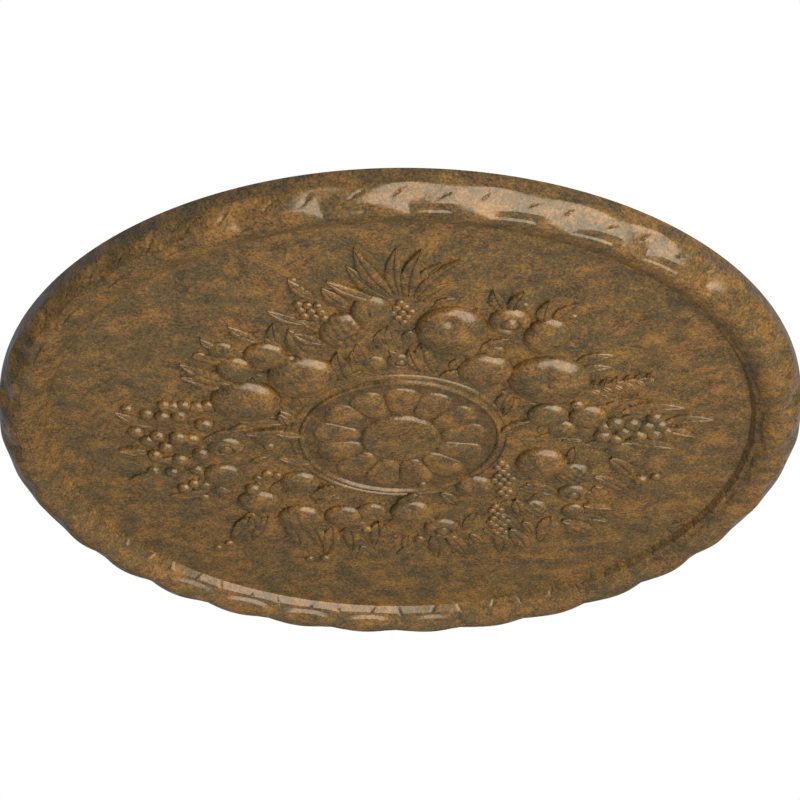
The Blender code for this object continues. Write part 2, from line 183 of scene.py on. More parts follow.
@dataclass(frozen=True)
class BronzedFinish:
    """Glossy brown finish, mottled with olive grey, ochre and rust, with painted shade darkening hollows and
    creases towards a near-black brown; a noise has detail and roughness.
    """

    dark: Colour = (0.046, 0.034, 0.016)
    olive: Colour = (0.084, 0.067, 0.032)
    brown: Colour = (0.122, 0.072, 0.024)
    ochre: Colour = (0.228, 0.137, 0.033)
    rust: Colour = (0.168, 0.088, 0.032)
    # Painted shade: the near-black brown that hollows and creases are darkened towards
    painted_crevice_shade: Colour = (0.035, 0.022, 0.010)
    patch_scale: float = 48.0
    patch_noise: tuple[float, float] = (5.0, 0.9)
    fleck_scale: float = 430.0
    fleck_noise: tuple[float, float] = (3.0, 0.8)
    fleck_share: float = 0.5
    hue_scale: float = 30.0
    hue_noise: tuple[float, float] = (6.0, 0.8)
    grain_scale: float = 420.0
    grain_noise: tuple[float, float] = (4.0, 0.6)
    grain_height: float = 0.00008
    warm_stops: tuple[float, ...] = (0.43, 0.48, 0.53, 0.58)
    cool_stops: tuple[float, ...] = (0.43, 0.485, 0.545, 0.60)
    hue_stops: tuple[float, ...] = (0.45, 0.54)
    wear_span: tuple[float, float] = (0.40, 0.60)
    worn_roughness: float = 0.18
    dull_roughness: float = 0.27
    gloss: float = 0.55
    refraction: float = 1.5

    def material(self) -> bpy.types.Material:
        """Build the node material.

        Returns:
            The material, ready to assign.
        """
        made = bpy.data.materials.new("mottled_bronze_brown")
        made.use_nodes = True
        nodes, links = made.node_tree.nodes, made.node_tree.links
        shader = nodes["Principled BSDF"]
        shader.inputs["Specular IOR Level"].default_value = self.gloss
        shader.inputs["IOR"].default_value = self.refraction
        where = nodes.new("ShaderNodeTexCoord").outputs["Object"]

        def noise(scale: float, texture: tuple[float, float]) -> bpy.types.NodeSocket:
            """Add a noise.

            Args:
                scale: How fine the noise is.
                texture: Its detail and its roughness.

            Returns:
                The socket with its value.
            """
            node = nodes.new("ShaderNodeTexNoise")
            for socket, number in zip(("Scale", "Detail", "Roughness"), (scale, *texture)):
                node.inputs[socket].default_value = number
            links.new(where, node.inputs["Vector"])
            return node.outputs["Fac"]

        def ramp(source: bpy.types.NodeSocket, stops: tuple[float, ...],
                 colours: tuple[Colour, ...]) -> bpy.types.NodeSocket:
            """Map a value to colours.

            Args:
                source: The socket with the value.
                stops: Where each colour stands.
                colours: The colours, one for each stop.

            Returns:
                The socket with the colour.
            """
            node = nodes.new("ShaderNodeValToRGB")
            elements = node.color_ramp.elements
            while len(elements) < len(stops):
                elements.new(0.5)
            for element, place, colour in zip(elements, stops, colours):
                element.position = place
                element.color = (*colour, 1.0)
            links.new(source, node.inputs["Fac"])
            return node.outputs["Color"]

        def blend(amount: bpy.types.NodeSocket, under: bpy.types.NodeSocket,
                  over: bpy.types.NodeSocket | Colour) -> bpy.types.NodeSocket:
            """Lay one colour over another.

            Args:
                amount: The socket with the upper colour's share.
                under: The socket with the lower colour.
                over: The upper colour, or the socket with it.

            Returns:
                The socket with the blended colour.
            """
            node = nodes.new("ShaderNodeMix")
            node.data_type = "RGBA"
            links.new(amount, node.inputs["Factor"])
            links.new(under, node.inputs["A"])
            if isinstance(over, tuple):
                node.inputs["B"].default_value = (*over, 1.0)
            else:
                links.new(over, node.inputs["B"])
            return node.outputs["Result"]

        mottle = nodes.new("ShaderNodeMix")
        mottle.inputs["Factor"].default_value = self.fleck_share
        links.new(noise(self.patch_scale, self.patch_noise), mottle.inputs["A"])
        links.new(noise(self.fleck_scale, self.fleck_noise), mottle.inputs["B"])
        value = mottle.outputs["Result"]
        warm = ramp(value, self.warm_stops, (self.dark, self.brown, self.rust, self.ochre))
        cool = ramp(value, self.cool_stops, (self.dark, self.olive, self.brown, self.ochre))
        hue = ramp(noise(self.hue_scale, self.hue_noise), self.hue_stops, (BLACK, WHITE))
        mixed = blend(hue, warm, cool)
        # Painted shade: the per-vertex shade share darkens the mottle towards the painted shade colour in
        # hollows and creases
        painted_shade = nodes.new("ShaderNodeAttribute")
        painted_shade.attribute_name = "painted_shade"
        shaded = blend(painted_shade.outputs["Fac"], mixed, self.painted_crevice_shade)
        links.new(shaded, shader.inputs["Base Color"])
        wear = nodes.new("ShaderNodeMapRange")
        for socket, number in zip(("From Min", "From Max", "To Min", "To Max"),
                                  (*self.wear_span, self.dull_roughness, self.worn_roughness)):
            wear.inputs[socket].default_value = number
        links.new(value, wear.inputs["Value"])
        links.new(wear.outputs["Result"], shader.inputs["Roughness"])
        bump = nodes.new("ShaderNodeBump")
        bump.inputs["Distance"].default_value = self.grain_height
        links.new(noise(self.grain_scale, self.grain_noise), bump.inputs["Height"])
        links.new(bump.outputs["Normal"], shader.inputs["Normal"])
        return made


# Half sections of the border, from its foot to the back edge, as radius and depth: first where two
# turns of the ribbon meet, then at the middle of a turn. Both break at the same places.
MEETING_SECTION = np.array([
    (0.874, 0.0407), (0.8865, 0.0587), (0.900, 0.0670), (0.922, 0.0790), (0.9375, 0.0813), (0.9435, 0.0803),
    (0.9605, 0.0681), (0.9805, 0.0535), (0.999, 0.0400), (1.000, 0.0290), (1.000, 0.0000)])
SWELLING_SECTION = np.array([
    (0.874, 0.0407), (0.8845, 0.0575), (0.8935, 0.0608), (0.9008, 0.0696), (0.922, 0.0790), (0.950, 0.0810),
    (0.973, 0.0726), (0.9845, 0.0595), (0.9945, 0.0430), (1.000, 0.0290), (1.000, 0.0000)])
SECTION_BREAKS = (0, 1, 2, 3, 6, 9, 10)
CREST_ROW = 5
CREASE_ROW = 6
SHOULDER_ROW = 7


@dataclass(frozen=True)
class RibbonCarving:
    """Carving of the ribbon border: depths are shares of the radius, places are shares of a turn."""

    section_steps: int = 6
    inner_row: float = 2.0
    inner_peak: float = 0.60
    inner_fullness: float = 0.75
    wall_fullness: float = 1.25
    wall_margin: float = 0.5
    scoop_depth: float = 0.0045
    scoop_margin: float = 0.1
    scoop_start: float = 0.35
    scoop_full: float = 0.60
    scoop_fade: float = 0.96
    outer_nicks: tuple[float, ...] = (0.12, 0.58)
    outer_slant: float = 0.16
    outer_width: float = 0.020
    outer_reach: float = 0.45
    outer_depth: float = 0.0030
    inner_nicks: tuple[tuple[float, float], ...] = ((0.06, 0.05), (0.59, -0.07))
    inner_nick_row: float = 0.8
    inner_nick_end: int = 3
    inner_width: float = 0.022
    inner_reach: float = 0.75
    inner_depth: float = 0.0035
    # painted shade laid into the nicks, as a share towards the dark shade colour
    nick_painted_shade: float = 0.6


@dataclass
class Casting:
    """The disc itself: flat back, twisted ribbon border, plain field, rings, petals and boss."""

    ribbon: RibbonCarving = RibbonCarving()
    turns: int = 32
    phase: float = math.radians(-0.85)
    steps_per_turn: int = 24
    border_steps_per_turn: int = 48
    first_radius: float = 0.0005
    fine_reach: float = 2.4
    fine_rows: int = 110
    plain_rows: int = 9
    back_share: float = 0.5
    overlap: float = 0.004
    field_depth: float = 0.0407
    ring_radius: float = 0.249
    ring_width: float = 0.0137
    ring_gap: float = 0.0081
    ring_height: float = 0.0078
    outer_ring_height: float = 0.0042
    boss_radius: float = 0.0997
    boss_flat_radius: float = 0.0866
    boss_height: float = 0.0100
    petals: int = 13
    petal_phase: float = math.radians(6.0)
    petal_gap: float = 0.0231
    petal_height: float = 0.0089
    # painted shade in the hollows inside the inner ring, fading out as the petals rise
    hollow_share: float = 0.6
    hollow_painted_shade: float = 0.35

    def border(self, angle: np.ndarray) -> tuple[np.ndarray, np.ndarray, np.ndarray]:
        """Carve the border.

        Args:
            angle: The angle of each column.

        Returns:
            Radius, depth and painted shade in the nicks, with a row for each step from the foot to the back
            edge.
        """
        ribbon = self.ribbon
        meeting, swelling, places = [], [], []
        for start, end in zip(SECTION_BREAKS[:-1], SECTION_BREAKS[1:]):
            steps = 1 if end == len(MEETING_SECTION) - 1 else ribbon.section_steps
            meeting.append(curve_through(MEETING_SECTION[start:end + 1], steps)[:-1])
            swelling.append(curve_through(SWELLING_SECTION[start:end + 1], steps)[:-1])
            places.append(np.linspace(start, end, len(meeting[-1]), endpoint=False))
        meeting = np.vstack([*meeting, MEETING_SECTION[-1:]])
        swelling = np.vstack([*swelling, SWELLING_SECTION[-1:]])
        place = np.append(np.concatenate(places), len(MEETING_SECTION) - 1)[:, None]
        turn = (angle - self.phase) * self.turns / math.tau
        share = (turn - np.floor(turn))[None, :]
        late = share ** (math.log(0.5) / math.log(ribbon.inner_peak))
        inward = smooth_step(place, ribbon.inner_row, CREST_ROW)
        arc = share * inward + late * (1 - inward)
        wall = smooth_step(place, CREASE_ROW - ribbon.wall_margin, SHOULDER_ROW + ribbon.wall_margin)
        swell = np.sin(math.pi * arc) ** (ribbon.inner_fullness + ribbon.wall_fullness * wall)
        section = meeting[:, None, :] * (1 - swell[..., None]) + swelling[:, None, :] * swell[..., None]
        radius, depth = section[..., 0], section[..., 1]
        scoop = np.clip(CREASE_ROW - place, 0, 1) * (place > CREST_ROW + ribbon.scoop_margin)
        depth = depth - (ribbon.scoop_depth * scoop
                         * smooth_step(share, ribbon.scoop_start, ribbon.scoop_full)
                         * (1 - smooth_step(share, ribbon.scoop_fade, 1.0)))
        cut = np.zeros_like(depth)
        for centre in ribbon.outer_nicks:
            slant = (SHOULDER_ROW - place) * ribbon.outer_slant
            cut = cut + (bell(share - centre - slant, ribbon.outer_width)
                         * bell(place - SHOULDER_ROW, ribbon.outer_reach))
        for centre, lean in ribbon.inner_nicks:
            row = place - ribbon.inner_nick_row
            cut = cut + bell(share - centre - row * lean, ribbon.inner_width) * bell(row, ribbon.inner_reach)
        outer_cut = ribbon.outer_depth * cut * (place > CREST_ROW)
        inner_cut = ribbon.inner_depth * cut * (place < ribbon.inner_nick_end)
        radius = np.minimum(radius - outer_cut + inner_cut, 1.0)
        depth = np.minimum(depth - outer_cut, DEPTH_LIMIT)
        # The nicks carry painted shade as well as their cut
        return radius, depth, np.clip(ribbon.nick_painted_shade * cut, 0, 1)

    def middle(self, radius: np.ndarray, angle: np.ndarray) -> tuple[np.ndarray, np.ndarray]:
        """Raise the rings, the petals and the boss.

        Args:
            radius: Radius of each vertex.
            angle: Angle of each vertex.

        Returns:
            Height over the field, and painted shade in the low hollows inside the rings.
        """
        height = np.zeros_like(radius)
        rings = ((self.ring_radius, self.ring_height),
                 (self.ring_radius + self.ring_width + self.ring_gap, self.outer_ring_height))
        for centre, crest in rings:
            share = np.clip(1 - ((radius - centre) / (0.5 * self.ring_width)) ** 2, 0, 1)
            height = np.maximum(height, crest * np.sqrt(share))
        half = 0.5 * (self.ring_radius - 0.5 * self.ring_width - self.petal_gap - self.boss_radius)
        along = (radius - self.boss_radius - half) / half
        turn = (angle - self.petal_phase) * self.petals / math.tau
        across = 2 * np.abs(turn - np.round(turn))
        share = np.clip(1 - across ** 2 - along ** 4, 0, 1)
        height = np.maximum(height, self.petal_height * np.sqrt(share))
        edge = np.clip((radius - self.boss_flat_radius) / (self.boss_radius - self.boss_flat_radius), 0, 1)
        height = np.maximum(height, self.boss_height * np.sqrt(1 - edge ** 2))
        # Painted shade darkens the low ground between the petals, the boss and the inner ring
        inside = radius < self.ring_radius + 0.5 * self.ring_width
        painted_shade = np.where(inside, 1 - smooth_step(height / self.petal_height, 0.0, self.hollow_share), 0.0)
        return height, self.hollow_painted_shade * painted_shade

    def build(self) -> bpy.types.Object:
        """Make the plain field with the rings, the petals, the boss and the back behind them.

        Returns:
            The new piece.
        """
        count = self.turns * self.steps_per_turn
        angle = np.arange(count)[None, :] * math.tau / count
        foot = MEETING_SECTION[0][0]
        fine_end = self.ring_radius + self.fine_reach * self.ring_width
        middle_radii = np.linspace(self.first_radius, fine_end, self.fine_rows)
        field_radii = np.linspace(fine_end, foot + self.overlap, self.plain_rows)[1:]
        radii = np.concatenate([middle_radii, field_radii])[:, None] + 0 * angle
        height, painted_shade = self.middle(radii, angle + 0 * radii)
        edge = np.array([[foot], [self.back_share * foot]]) + 0 * angle
        radius = np.vstack([radii, edge])
        depth = np.vstack([self.field_depth + height, 0 * edge])
        skin = Skin()
        self.add_turned(skin, radius, depth, np.vstack([painted_shade, 0 * edge]), angle, capped=True)
        return skin.piece("casting_field", FIELD_SHARP_ANGLE)

    def build_border(self) -> bpy.types.Object:
        """Make the border as a closed ring.

        Returns:
            The new piece.
        """
        count = self.turns * self.border_steps_per_turn
        angle = np.arange(count)[None, :] * math.tau / count
        radius, depth, painted_shade = self.border(angle[0])
        depth[0] = self.field_depth
        foot, back = radius[:1], 0 * radius[:1]
        skin = Skin()
        self.add_turned(skin, np.vstack([radius, foot, foot]), np.vstack([depth, back, back + depth[0]]),
                        np.vstack([painted_shade, back, back]), angle)
        return skin.piece("casting_border", BORDER_SHARP_ANGLE)

    def add_turned(self, skin: Skin, radius: np.ndarray, depth: np.ndarray, painted_shade: np.ndarray,
                   angle: np.ndarray, capped: bool = False) -> None:
        """Add rows of vertices that run once about the middle.

        Args:
            skin: The skin that takes the vertices.
            radius: Radius of each vertex.
            depth: Depth of each vertex.
            painted_shade: Painted shade share of each vertex.
            angle: The angle of each column.
            capped: Whether one face closes each end.
        """
        spread = angle + 0 * radius
        places = np.stack([radius * np.cos(spread), radius * np.sin(spread), depth], axis=-1)
        skin.add_grid(places, painted_shade, closed=True, cap_start=capped, cap_end=capped)


class FruitKind(Enum):
    """How a fruit's skin is modelled."""

    APPLE = "a dimple near the top"
    PEACH = "a cleft down one side"
    PLAIN = "smooth"
    RINGED = "a sunk ring with a calyx"
    SEEDED = "rows of small seeds"


@dataclass(frozen=True)
class FruitCarving:
    """Form of a fruit's face and the painted shade at its foot, in its dimple, cleft and ring and between its
    seeds: sizes are shares of its smaller half width, leans are angles.
    """

    first_lean: float = 0.015
    last_lean: float = math.radians(104)
    flatness: float = 0.85
    foot_painted_shade: float = 0.4
    foot_span: tuple[float, float] = (1.25, 1.60)
    dimple_right: float = -0.06
    dimple_up: float = 0.66
    dimple_depth: float = 0.13
    dimple_width: float = 0.15
    dimple_painted_shade: float = 0.5
    dimple_shade_width: float = 0.09
    cleft_right: float = -0.10
    cleft_bow: float = 0.20
    cleft_width: float = 0.06
    cleft_span: tuple[float, float] = (-0.5, 0.2)
    cleft_depth: float = 0.06
    cleft_painted_shade: float = 0.3
    ring_radius: float = 0.42
    ring_depth: float = 0.13
    ring_width: float = 0.09
    ring_painted_shade: float = 0.8
    ring_shade_width: float = 0.07
    calyx_height: float = 0.05
    calyx_width: float = 0.16
    seed_fineness: float = 12.0
    seed_height: float = 0.060
    seed_painted_shade: float = 0.5
    seed_span: tuple[float, float] = (0.2, 0.9)


@dataclass(frozen=True)
class Fruit:
    """One fruit of the wreath, in shares of the radius."""

    right: float
    up: float
    across: float
    along: float
    turn: float = 0.0
    kind: FruitKind = FruitKind.PLAIN
    carving: FruitCarving = FruitCarving()

    def add_to(self, skin: Skin, base: float, swell: float, rows: int = 20, columns: int = 44) -> None:
        """Add the fruit's rounded face.

        Args:
            skin: The skin that takes the vertices.
            base: Depth of the field.
            swell: Height as a share of the smaller radius.
            rows: Steps from the top to the edge.
            columns: Steps about.
        """
        carving = self.carving
        size = min(self.across, self.along)
        lean = np.linspace(carving.first_lean, carving.last_lean, rows)[:, None]
        about = (np.arange(columns) * math.tau / columns)[None, :]
        rise = np.sign(np.cos(lean)) * np.abs(np.cos(lean)) ** carving.flatness
        height = swell * size * rise + 0 * about
        out = np.sin(lean) ** carving.flatness
        x = self.across * out * np.cos(about)
        y = self.along * out * np.sin(about)
        # Painted shade: darker at the fruit's foot, in the dimple, the cleft and the ring and between the
        # seeds
        painted_shade = carving.foot_painted_shade * smooth_step(lean, *carving.foot_span) + 0 * about
        if self.kind is FruitKind.APPLE:
            off = np.hypot(x / size - carving.dimple_right, y / size - carving.dimple_up)
            height = height - carving.dimple_depth * size * bell(off, carving.dimple_width)
            painted_shade = np.maximum(painted_shade, carving.dimple_painted_shade * bell(off, carving.dimple_shade_width))
        if self.kind is FruitKind.PEACH:
            off = x / size - carving.cleft_right + carving.cleft_bow * (y / size) ** 2
            cleft = bell(off, carving.cleft_width) * smooth_step(y / size, *carving.cleft_span)
            height = height - carving.cleft_depth * size * cleft
            painted_shade = np.maximum(painted_shade, carving.cleft_painted_shade * cleft)
        if self.kind is FruitKind.RINGED:
            off = np.hypot(x, y) / size
            ring = off - carving.ring_radius
            height = (height - carving.ring_depth * size * bell(ring, carving.ring_width)
                      + carving.calyx_height * size * bell(off, carving.calyx_width))
            painted_shade = np.maximum(painted_shade, carving.ring_painted_shade * bell(ring, carving.ring_shade_width))
        if self.kind is FruitKind.SEEDED:
            seeds = np.cos(x / size * carving.seed_fineness) * np.cos(y / size * carving.seed_fineness)
            height = height + carving.seed_height * size * seeds * np.clip(np.cos(lean), 0, 1)
            painted_shade = np.maximum(painted_shade, carving.seed_painted_shade * smooth_step(-seeds, *carving.seed_span))
        angle = math.radians(self.turn)
        right = self.right + x * math.cos(angle) - y * math.sin(angle)
        up = self.up + x * math.sin(angle) + y * math.cos(angle)
        skin.add_grid(np.stack([right, up, base + height], axis=-1), painted_shade, closed=True, cap_start=True)


@dataclass(frozen=True)
class LeafCarving:
    """Form of a leaf's face and the painted shade in its midrib and veins and along its edges, mostly in
    shares of its length, its half width or its thickness.
    """

    span: tuple[float, float] = (0.012, 0.992)
    teeth: int = 5
    tooth_size: float = 0.10
    belly: float = 0.8
    fullness: float = 0.85
    bow: float = 0.05
    veins: float = 6.5
    vein_slant: float = 0.9
    vein_sharpness: int = 3
    vein_depth: float = 0.12
    vein_end: float = 0.95
    vein_painted_shade: float = 0.15
    edge_drop: float = 0.40
    end_height: float = 0.55
    middle_rise: float = 0.45
    midrib_width: float = 0.13
    midrib_depth: float = 0.30
    midrib_painted_shade: float = 0.40
    foot_height: float = -0.004
    foot_painted_shade: float = 0.40
    edge_painted_shade: float = 0.10


@dataclass(frozen=True)
class Leaf:
    """One pointed leaf with a midrib, side veins and a wavy edge, in shares of the radius."""

    foot_right: float
    foot_up: float
    tip_right: float
    tip_up: float
    width: float
    lift: float = 0.0
    carving: LeafCarving = LeafCarving()

    def add_to(self, skin: Skin, base: float, thickness: float, rows: int = 26, columns: int = 15) -> None:
        """Add the leaf's face and its edge down into the field.

        Args:
            skin: The skin that takes the vertices.
            base: Depth of the field.
            thickness: Height of the blade's middle.
            rows: Steps from the foot to the tip.
            columns: Steps across.
        """
        carving = self.carving
        share = np.linspace(*carving.span, rows)[:, None]
        side = np.linspace(-1, 1, columns)[None, :]
        edge_side = np.concatenate([[[-1.0]], side, [[1.0]]], axis=1)
        teeth = 1 + carving.tooth_size * (np.abs(np.sin(share * math.pi * carving.teeth)) - 0.5)
        half = 0.5 * self.width * np.sin(math.pi * share ** carving.belly) ** carving.fullness * teeth
        run_right, run_up = self.tip_right - self.foot_right, self.tip_up - self.foot_up
        length = math.hypot(run_right, run_up)
        along = length * share + 0 * edge_side
        across = half * edge_side + carving.bow * length * np.sin(math.pi * share)
        away = np.abs(edge_side)
        vein = 1 - np.abs(np.sin((share * carving.veins - away * carving.vein_slant) * math.pi))
        vein = vein ** carving.vein_sharpness
        midrib = bell(away, carving.midrib_width)
        blade = carving.end_height + carving.middle_rise * np.sin(math.pi * share)
        blade = (1 - carving.edge_drop * away ** 4) * blade - carving.midrib_depth * midrib
        height = thickness * (blade - carving.vein_depth * vein * (away < carving.vein_end)) + self.lift
        # Painted shade in the midrib and veins, and along the edges where the blade drops to the field
        painted_shade = carving.midrib_painted_shade * midrib + carving.vein_painted_shade * vein
        height[:, [0, -1]] = carving.foot_height
        painted_shade[:, [0, -1]] = carving.foot_painted_shade
        painted_shade[:, [1, -2]] = carving.edge_painted_shade
        right = self.foot_right + (along * run_right - across * run_up) / length
        up = self.foot_up + (along * run_up + across * run_right) / length
        places = np.stack([right, up, base + height], axis=-1)
        skin.add_grid(places[:, ::-1], painted_shade[:, ::-1])


# The larger fruit: right, up, half width across and along, turn in degrees, kind
K = FruitKind
FRUITS = (
    Fruit(0.120, 0.470, 0.086, 0.086, 0, K.APPLE), Fruit(0.255, 0.500, 0.050, 0.050, 0, K.RINGED),
    Fruit(0.345, 0.440, 0.055, 0.070, -8), Fruit(0.203, 0.305, 0.068, 0.064, 0),
    Fruit(0.360, 0.265, 0.102, 0.090, -10, K.PEACH), Fruit(0.365, 0.106, 0.052, 0.048, 0),
    Fruit(0.465, 0.098, 0.048, 0.048, 0), Fruit(0.225, 0.374, 0.027, 0.029, 0),
    Fruit(-0.066, 0.535, 0.050, 0.066, 0, K.PEACH), Fruit(-0.135, 0.468, 0.056, 0.066, -18, K.SEEDED),
    Fruit(-0.235, 0.282, 0.086, 0.082, 0), Fruit(-0.320, 0.368, 0.052, 0.050, 0),
    Fruit(-0.395, 0.310, 0.047, 0.050, 0), Fruit(-0.424, 0.388, 0.033, 0.031, 0),
    Fruit(-0.378, 0.180, 0.086, 0.082, 0), Fruit(-0.478, 0.360, 0.018, 0.018, 0),
    Fruit(0.024, 0.436, 0.022, 0.026, 0), Fruit(-0.062, 0.334, 0.029, 0.029, 0),
    Fruit(0.000, 0.340, 0.032, 0.030, 0, K.RINGED), Fruit(-0.042, 0.402, 0.017, 0.017, 0),
    Fruit(-0.440, -0.032, 0.048, 0.044, 0, K.RINGED), Fruit(-0.455, -0.162, 0.052, 0.048, 0),
    Fruit(-0.260, -0.200, 0.052, 0.048, 0), Fruit(-0.370, -0.296, 0.058, 0.052, 0),
    Fruit(0.360, -0.112, 0.066, 0.066, 0), Fruit(0.445, -0.165, 0.050, 0.048, 0, K.SEEDED),
    Fruit(0.450, -0.262, 0.042, 0.040, 0, K.RINGED), Fruit(0.192, -0.222, 0.052, 0.048, 0, K.PEACH),
    Fruit(0.350, -0.338, 0.044, 0.043, 0, K.SEEDED), Fruit(0.456, -0.352, 0.032, 0.034, 0),
    Fruit(0.560, -0.048, 0.038, 0.032, 0), Fruit(0.030, -0.352, 0.058, 0.056, 0, K.APPLE),
    Fruit(0.112, -0.435, 0.050, 0.048, 0, K.RINGED), Fruit(-0.262, -0.378, 0.062, 0.060, 0, K.PEACH),
    Fruit(-0.150, -0.372, 0.052, 0.050, 0), Fruit(-0.075, -0.350, 0.040, 0.040, 0),
    Fruit(0.405, 0.044, 0.038, 0.036, 0), Fruit(-0.345, 0.010, 0.032, 0.032, 0),
)

# Berries, apart from the small bunches: right, up, radius
BERRIES = (
    (-0.580, 0.158, 0.018), (-0.558, 0.150, 0.020), (-0.532, 0.156, 0.020), (-0.500, 0.150, 0.022),
    (-0.472, 0.156, 0.020), (-0.545, 0.112, 0.022), (-0.588, 0.108, 0.022), (-0.487, 0.072, 0.026),
    (-0.626, 0.120, 0.019), (-0.672, 0.142, 0.017), (-0.607, 0.020, 0.022), (-0.634, 0.000, 0.021),
    (-0.556, 0.014, 0.025), (-0.524, 0.006, 0.024), (-0.660, 0.040, 0.022), (-0.622, -0.066, 0.021),
    (-0.590, -0.030, 0.021), (-0.560, -0.088, 0.023), (-0.505, -0.062, 0.024), (-0.522, -0.138, 0.021),
    (-0.632, -0.142, 0.018), (-0.585, -0.150, 0.020), (-0.560, -0.226, 0.020), (-0.534, -0.206, 0.016),
    (-0.505, -0.214, 0.018), (-0.464, -0.230, 0.022), (-0.512, -0.270, 0.017), (-0.382, -0.232, 0.023),
    (-0.342, -0.160, 0.015), (-0.316, -0.170, 0.014), (-0.368, -0.182, 0.013), (-0.330, -0.030, 0.017),
    (0.535, 0.070, 0.025), (0.577, 0.066, 0.024), (0.616, 0.054, 0.024), (0.648, 0.058, 0.022),
    (0.632, 0.092, 0.022), (0.597, 0.014, 0.024), (0.508, 0.014, 0.024), (0.542, -0.002, 0.023),
    (0.560, 0.030, 0.023), (0.638, 0.020, 0.022), (0.668, 0.030, 0.019), (0.510, 0.052, 0.022),
    (0.435, 0.150, 0.018), (0.622, -0.196, 0.021), (0.660, -0.184, 0.015), (0.052, -0.492, 0.015),
    (-0.248, -0.598, 0.013), (-0.206, -0.596, 0.016), (-0.462, -0.512, 0.013), (-0.494, -0.536, 0.012),
    (-0.090, -0.440, 0.016), (0.056, -0.215, 0.013), (0.492, 0.312, 0.011), (0.402, 0.515, 0.012),
    (0.286, 0.560, 0.012), (-0.243, 0.658, 0.011), (0.062, 0.670, 0.012), (-0.262, 0.348, 0.018),
    (-0.237, 0.372, 0.011), (-0.166, 0.326, 0.013), (-0.166, 0.276, 0.013),
)

# Bunches of small berries: right, up, half length, half width, turn in degrees, berry radius
BUNCHES = (
    (-0.206, 0.542, 0.050, 0.036, -42, 0.0125), (0.004, 0.535, 0.062, 0.022, 96, 0.0115),
    (0.266, -0.195, 0.090, 0.026, -84, 0.0125), (0.262, -0.405, 0.080, 0.024, -82, 0.0120),
)

# Leaves: right and up of the foot, right and up of the tip, width
LEAVES = (
    (-0.003, 0.600, -0.010, 0.775, 0.040), (0.018, 0.598, 0.045, 0.770, 0.042),
    (0.025, 0.600, 0.092, 0.722, 0.040), (0.034, 0.590, 0.135, 0.735, 0.036),
    (0.045, 0.575, 0.112, 0.645, 0.044), (-0.020, 0.602, -0.104, 0.780, 0.042),
    (-0.030, 0.594, -0.122, 0.715, 0.040), (-0.060, 0.588, -0.168, 0.660, 0.038),
    (-0.120, 0.555, -0.180, 0.632, 0.042), (-0.200, 0.595, -0.255, 0.668, 0.032),
    (-0.228, 0.492, -0.308, 0.545, 0.034), (-0.185, 0.418, -0.250, 0.460, 0.042),
    (-0.205, 0.352, -0.262, 0.470, 0.062), (-0.335, 0.425, -0.402, 0.490, 0.036),
    (-0.290, 0.415, -0.298, 0.492, 0.034), (-0.405, 0.250, -0.528, 0.336, 0.054),
    (-0.410, 0.232, -0.530, 0.278, 0.044), (-0.438, 0.400, -0.470, 0.440, 0.026),
    (-0.290, 0.072, -0.422, 0.102, 0.042), (-0.282, 0.040, -0.392, 0.034, 0.038),
    (-0.262, 0.082, -0.296, 0.130, 0.032), (-0.248, 0.020, -0.330, 0.050, 0.034),
    (-0.480, -0.240, -0.605, -0.268, 0.040), (-0.430, -0.205, -0.506, -0.252, 0.038),
    (-0.620, 0.060, -0.705, 0.128, 0.040), (-0.640, -0.050, -0.712, -0.040, 0.036),
    (-0.640, -0.160, -0.702, -0.190, 0.034), (-0.400, -0.370, -0.456, -0.490, 0.052),
    (-0.352, -0.375, -0.400, -0.498, 0.048), (-0.296, -0.400, -0.270, -0.512, 0.050),
    (-0.240, -0.420, -0.214, -0.530, 0.044), (-0.182, -0.420, -0.205, -0.575, 0.046),
    (-0.140, -0.425, -0.132, -0.560, 0.044), (-0.060, -0.400, -0.070, -0.520, 0.044),
    (0.095, -0.470, 0.100, -0.598, 0.050), (0.128, -0.468, 0.178, -0.575, 0.044),
    (0.270, -0.450, 0.272, -0.575, 0.048), (0.292, -0.440, 0.345, -0.550, 0.044),
    (0.398, -0.380, 0.376, -0.515, 0.060), (0.430, -0.395, 0.532, -0.476, 0.050),
    (0.455, -0.375, 0.556, -0.408, 0.040), (0.482, -0.320, 0.560, -0.335, 0.036),
    (0.500, -0.180, 0.600, -0.262, 0.044), (0.535, -0.090, 0.606, -0.190, 0.046),
    (0.520, -0.055, 0.602, -0.096, 0.040), (0.560, -0.015, 0.700, -0.044, 0.046),
    (0.500, 0.098, 0.565, 0.178, 0.046), (0.545, 0.122, 0.700, 0.140, 0.050),
    (0.655, 0.070, 0.780, 0.080, 0.042), (0.660, 0.040, 0.742, 0.010, 0.036),
    (0.420, 0.325, 0.510, 0.362, 0.042), (0.430, 0.300, 0.505, 0.318, 0.034),
    (0.358, 0.495, 0.412, 0.566, 0.038), (0.332, 0.500, 0.342, 0.580, 0.034),
    (0.238, 0.540, 0.212, 0.620, 0.036), (0.258, 0.545, 0.282, 0.612, 0.032),
    (0.080, 0.285, 0.048, 0.412, 0.056), (0.050, 0.300, 0.020, 0.392, 0.036),
    (0.095, 0.272, 0.165, 0.292, 0.034), (-0.128, 0.262, -0.150, 0.380, 0.050),
    (-0.090, 0.300, -0.166, 0.246, 0.026), (0.252, 0.028, 0.328, 0.086, 0.032),
    (0.246, 0.135, 0.268, 0.212, 0.034), (0.278, 0.190, 0.254, 0.110, 0.030),
    (-0.226, -0.112, -0.312, -0.084, 0.038), (-0.170, -0.220, -0.234, -0.262, 0.038),
    (0.105, -0.258, 0.152, -0.322, 0.036), (0.046, -0.262, -0.010, -0.300, 0.034),
    (0.440, -0.045, 0.436, -0.122, 0.036), (0.300, -0.290, 0.318, -0.372, 0.034),
    (-0.240, 0.150, -0.252, 0.222, 0.030), (-0.300, 0.120, -0.282, 0.060, 0.026),
)

# Rows of leaflets along a rib: right and up of both ends, leaflets on each side, leaflet length
FRONDS = (
    (0.450, 0.212, 0.612, 0.268, 6, 0.040),
)


